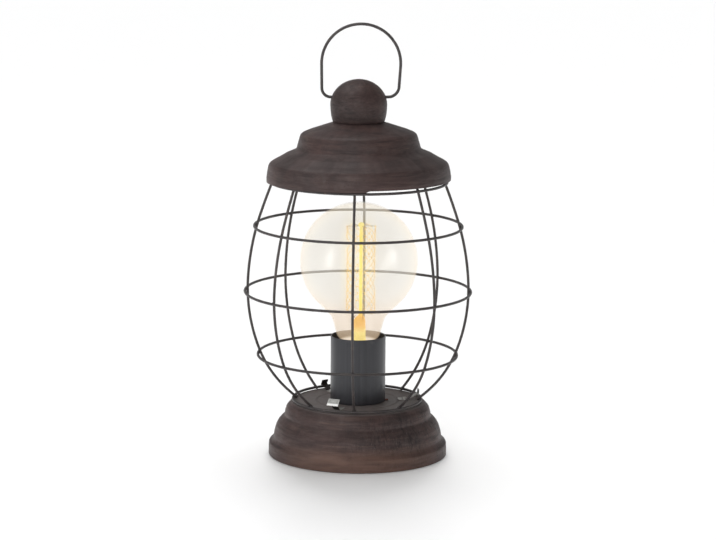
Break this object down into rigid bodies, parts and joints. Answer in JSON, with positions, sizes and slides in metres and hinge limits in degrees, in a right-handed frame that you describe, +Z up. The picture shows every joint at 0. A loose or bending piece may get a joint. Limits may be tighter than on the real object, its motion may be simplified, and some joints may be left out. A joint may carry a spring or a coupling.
{
  "type": "lantern table lamp",
  "caption": "Free-standing lantern table lamp: clear globe bulb in a bulging wire cage between a stepped metal foot and a stepped lid with ball finial and swinging bail handle.",
  "frame": {"origin": "centre of the foot on the surface it stands on", "axes": "+Z up along the lamp, -Y towards the viewer of the picture, +X to the right in it"},
  "size_m": [0.184, 0.184, 0.3494],
  "materials": {
    "aged_metal": "dark brown aged finish, satin, streaked and lightly speckled",
    "cage_wire": "near-black brown paint, satin",
    "black_tube": "satin blue-black enamel",
    "plated_steel": "zinc plated",
    "clip_steel": "spring steel, painted where it was sprayed with the deck, bare at the tab",
    "felt": "black felt",
    "grommet_rubber": "moulded rubber",
    "holder_ceramic": "unglazed white",
    "brass": "pressed brass",
    "terminal_plastic": "moulded",
    "wire_brown": "insulation",
    "wire_blue": "insulation",
    "wire_green": "insulation",
    "clear_glass": "clear, faint warm tint",
    "stem_glass": "clear",
    "cap_metal": "rolled thread, bright",
    "cap_insulator": "black vitreous insulator",
    "solder": "solder button",
    "filament_glow": "glowing coiled filament",
    "support_wire": "drawn wire"
  },
  "bodies": {
    "base": {"base_shell": "aged_metal", "base_plate": "plated_steel", "felt_pad": "felt", "plate_screws": "plated_steel", "plate_brackets": "plated_steel", "cable_grommet": "grommet_rubber", "terminal_block": "terminal_plastic", "terminal_block_screws": "plated_steel", "earth_screw": "plated_steel", "earth_washer": "plated_steel", "threaded_nipple": "plated_steel", "lock_washer": "plated_steel", "nipple_nut": "plated_steel", "socket_sleeve": "black_tube", "lampholder_body": "holder_ceramic", "lampholder_shell": "brass", "centre_contact": "brass", "terminal_screws": "plated_steel", "wire_live": "wire_brown", "wire_neutral": "wire_blue", "wire_earth": "wire_green", "clip_feet": "clip_steel", "clip_rivets": "plated_steel"},
    "cage": {"cage_ring_bottom": "cage_wire", "cage_ring_lower": "cage_wire", "cage_ring_middle": "cage_wire", "cage_ring_upper": "cage_wire", "cage_ring_top": "cage_wire", "cage_upright_1": "cage_wire", "cage_upright_2": "cage_wire", "cage_upright_3": "cage_wire", "cage_upright_4": "cage_wire", "cage_upright_5": "cage_wire", "cage_upright_6": "cage_wire", "cage_upright_7": "cage_wire", "cage_upright_8": "cage_wire", "lid_shell": "aged_metal", "finial_ball": "aged_metal", "finial_stud": "plated_steel", "finial_washer": "plated_steel", "finial_nut": "plated_steel"},
    "handle": {"handle": "cage_wire"},
    "bulb_foot": {"bulb_contact": "solder"},
    "bulb": {"bulb_glass": "clear_glass", "bulb_stem": "stem_glass", "bulb_cap": "cap_metal", "bulb_insulator": "cap_insulator", "filament": "filament_glow", "filament_supports": "support_wire", "lead_wires": "support_wire"},
    "clip_right": {"clip_tongue_right": "clip_steel"},
    "clip_rear": {"clip_tongue_rear": "clip_steel"},
    "clip_front": {"clip_tongue_front": "clip_steel"}
  },
  "joints": [
    {"name": "cage_lift", "type": "slide", "parent": "base", "child": "cage", "axis": [0, 0, 1], "range_m": [0, 0.18]},
    {"name": "handle_swing", "type": "hinge", "parent": "cage", "child": "handle", "pos_m": [-0.00112, 0.00116, 0.29029], "axis": [1, 0.0001, 0.0079], "range_deg": [-122, 122]},
    {"name": "bulb_rise", "type": "slide", "parent": "base", "child": "bulb_foot", "axis": [0, 0, 1], "range_m": [0, 0.011]},
    {"name": "bulb_unscrew", "type": "hinge", "parent": "bulb_foot", "child": "bulb", "pos_m": [0, 0, 0.08], "axis": [0, 0, 1], "range_deg": [0, 1080]},
    {"name": "clip_right_press", "type": "hinge", "parent": "base", "child": "clip_right", "pos_m": [0.04038, 0.00424, 0.0442], "axis": [0.1045, -0.9945, 0], "range_deg": [0, 10], "stiffness_Nm_per_rad": 0.2},
    {"name": "clip_rear_press", "type": "hinge", "parent": "base", "child": "clip_rear", "pos_m": [-0.02329, 0.03326, 0.0442], "axis": [0.8192, 0.5736, 0], "range_deg": [0, 10], "stiffness_Nm_per_rad": 0.2},
    {"name": "clip_front_press", "type": "hinge", "parent": "base", "child": "clip_front", "pos_m": [-0.01651, -0.03709, 0.0442], "axis": [-0.9135, 0.4067, 0], "range_deg": [0, 10], "stiffness_Nm_per_rad": 0.2}
  ],
  "couplings": [
    {"joint": "bulb_rise", "follows": "bulb_unscrew", "m_per_rad": 0.00057757}
  ]
}
